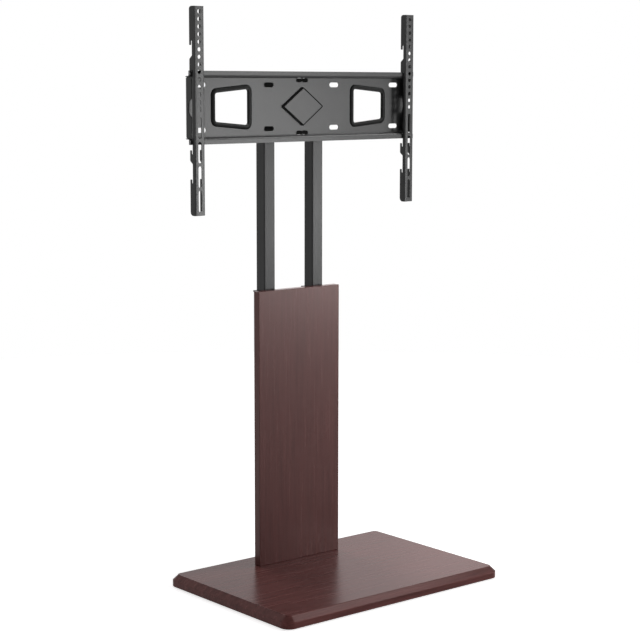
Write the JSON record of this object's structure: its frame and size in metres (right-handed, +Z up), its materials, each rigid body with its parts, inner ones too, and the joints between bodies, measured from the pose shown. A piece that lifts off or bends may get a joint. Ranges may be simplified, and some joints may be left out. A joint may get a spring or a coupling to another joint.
{
  "type": "television floor stand with swivel mount",
  "caption": "Floor stand for a television: bevelled wooden base and front panel, telescoping square steel posts, and a swivelling slotted wall-style plate with hooked arms.",
  "frame": {"origin": "on the floor under the swivel axis, midway between the two posts", "axes": "+X to the right as seen from the front, +Y to the back, +Z up; the television side faces -Y"},
  "size_m": [0.6834, 0.42, 1.2574],
  "materials": {
    "base_wood": "satin dark mahogany laminate on board",
    "panel_wood": "satin dark mahogany laminate, grain upright",
    "steel_coat": "dark grey fine powder coat",
    "black_plastic": "satin black moulded plastic",
    "zinc_steel": "zinc plated",
    "rubber": "matt black rubber"
  },
  "bodies": {
    "stand": {"base_board": "base_wood", "front_panel": "panel_wood", "base_pad_front_left": "rubber", "base_pad_front_right": "rubber", "base_pad_rear_left": "rubber", "base_pad_rear_right": "rubber", "base_pad_centre": "rubber", "foot_plate": "steel_coat", "sleeve_left": "steel_coat", "sleeve_right": "steel_coat", "sleeve_back_left": "steel_coat", "sleeve_back_right": "steel_coat", "panel_strap_lower": "steel_coat", "panel_strap_upper": "steel_coat", "lock_boss_left": "steel_coat", "lock_boss_right": "steel_coat", "sleeve_collar_left": "black_plastic", "sleeve_collar_right": "black_plastic", "foot_bolt_1": "zinc_steel", "foot_bolt_2": "zinc_steel", "foot_bolt_3": "zinc_steel", "foot_bolt_4": "zinc_steel", "foot_nut_1": "zinc_steel", "foot_nut_2": "zinc_steel", "foot_nut_3": "zinc_steel", "foot_nut_4": "zinc_steel", "panel_screw_1": "zinc_steel", "panel_screw_2": "zinc_steel", "panel_screw_3": "zinc_steel", "panel_screw_4": "zinc_steel"},
    "left_lock": {"lock_knob_left": "black_plastic"},
    "right_lock": {"lock_knob_right": "black_plastic"},
    "mast": {"post_left": "steel_coat", "post_right": "steel_coat", "crossbar": "steel_coat", "post_cap_left": "black_plastic", "post_cap_right": "black_plastic", "post_glide_left": "black_plastic", "post_glide_right": "black_plastic", "pivot_bush_upper": "black_plastic", "pivot_bush_lower": "black_plastic"},
    "mount": {"mount_plate": "steel_coat", "diamond_cap": "steel_coat", "swivel_bracket": "steel_coat", "window_trim_left": "black_plastic", "window_trim_right": "black_plastic", "plate_bolt_1": "zinc_steel", "plate_bolt_2": "zinc_steel", "plate_bolt_3": "zinc_steel", "plate_bolt_4": "zinc_steel", "plate_nut_1": "zinc_steel", "plate_nut_2": "zinc_steel", "plate_nut_3": "zinc_steel", "plate_nut_4": "zinc_steel", "pivot_bolt": "zinc_steel", "pivot_washer_upper": "zinc_steel", "pivot_washer_lower": "zinc_steel", "pivot_nut": "zinc_steel"},
    "left_arm": {"arm_left": "steel_coat"},
    "right_arm": {"arm_right": "steel_coat"}
  },
  "joints": [
    {"name": "height_slide", "type": "slide", "parent": "stand", "child": "mast", "axis": [0, 0, 1], "range_m": [-0.15, 0]},
    {"name": "mount_swivel", "type": "hinge", "parent": "mast", "child": "mount", "pos_m": [0, 0, 1.0504], "axis": [0, 0, 1], "range_deg": [-20.25, 9.75]},
    {"name": "left_arm_slide", "type": "slide", "parent": "mount", "child": "left_arm", "axis": [0.9958, 0.0915, 0], "range_m": [-0.0067, 0.2215]},
    {"name": "right_arm_slide", "type": "slide", "parent": "mount", "child": "right_arm", "axis": [-0.9958, -0.0915, 0], "range_m": [-0.0067, 0.2215]},
    {"name": "left_lock_screw", "type": "hinge", "parent": "stand", "child": "left_lock", "pos_m": [-0.0435, 0.0053, 0.6047], "axis": [1, 0, 0], "range_deg": [0, 360]},
    {"name": "right_lock_screw", "type": "hinge", "parent": "stand", "child": "right_lock", "pos_m": [0.0435, 0.0053, 0.6047], "axis": [-1, 0, 0], "range_deg": [0, 360]}
  ]
}
